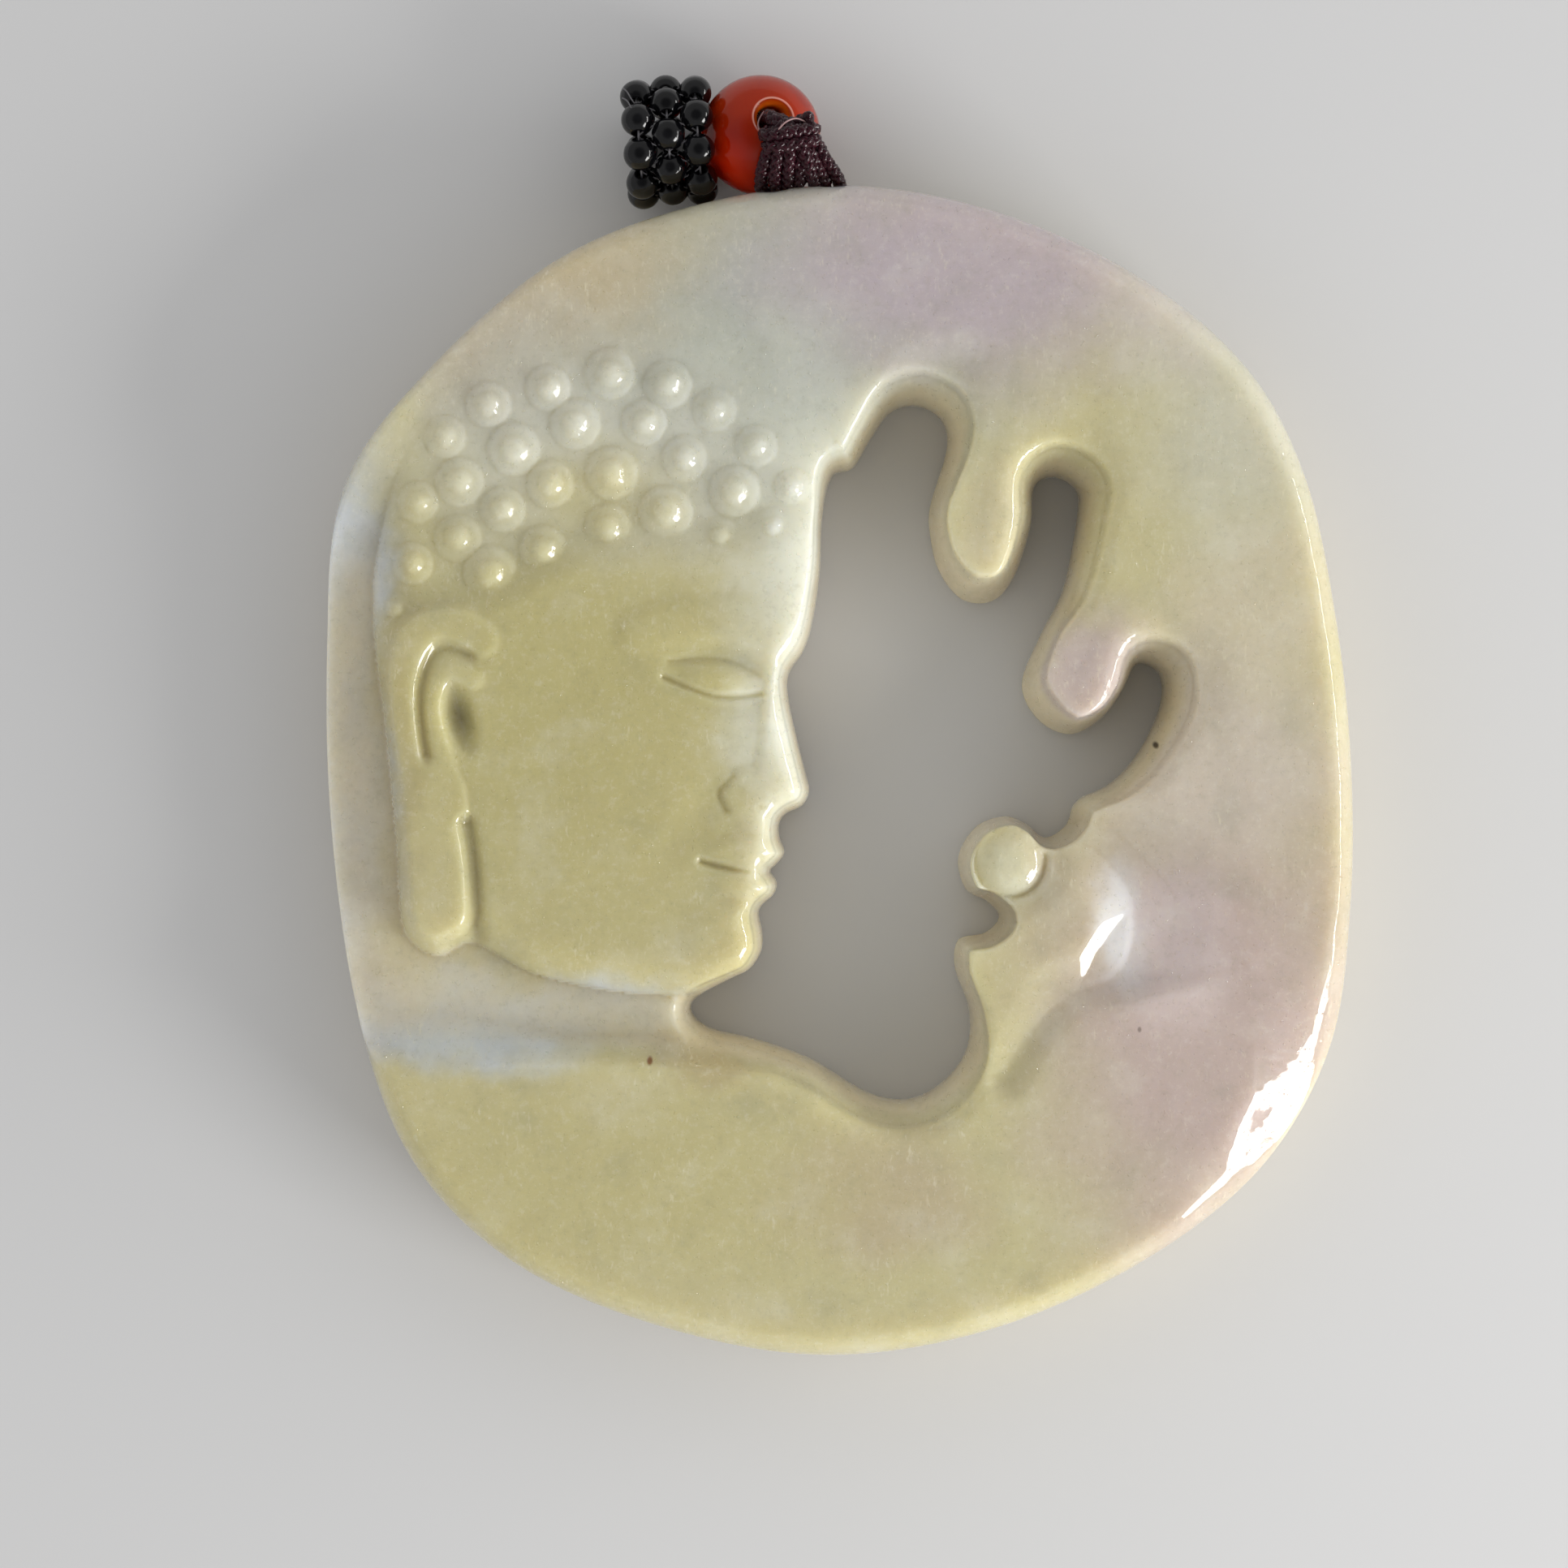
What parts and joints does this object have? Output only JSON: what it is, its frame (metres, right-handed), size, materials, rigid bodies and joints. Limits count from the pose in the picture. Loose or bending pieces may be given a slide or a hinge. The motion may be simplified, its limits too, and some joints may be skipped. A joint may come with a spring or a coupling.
{
  "type": "carved jade pendant",
  "caption": "Oval pierced jade pendant with a sunk relief head, a dripping cave edge and a small robed figure, hung by a dark cord from an agate bead and a ring of black beads.",
  "frame": {"origin": "on the surface that the pendant lies on, below the middle of the whole pendant's box", "axes": "+X to the right of the carving as it is read, +Y from the foot of the plaque to its hanging hole, +Z out of the carved face"},
  "size_m": [0.0571, 0.0716, 0.0088],
  "materials": {
    "jade": "polished translucent jadeite, pale yellow green with lilac and grey-blue patches",
    "carnelian": "polished translucent orange-red agate",
    "cord": "glossy dark maroon braided cord",
    "onyx": "polished black stone beads",
    "thread": "thin grey-black weaving thread"
  },
  "bodies": {
    "root": {"plaque": "jade", "agate_bead": "carnelian", "hanging_cord": "cord", "ring_beads": "onyx", "ring_thread": "thread"}
  },
  "joints": []
}
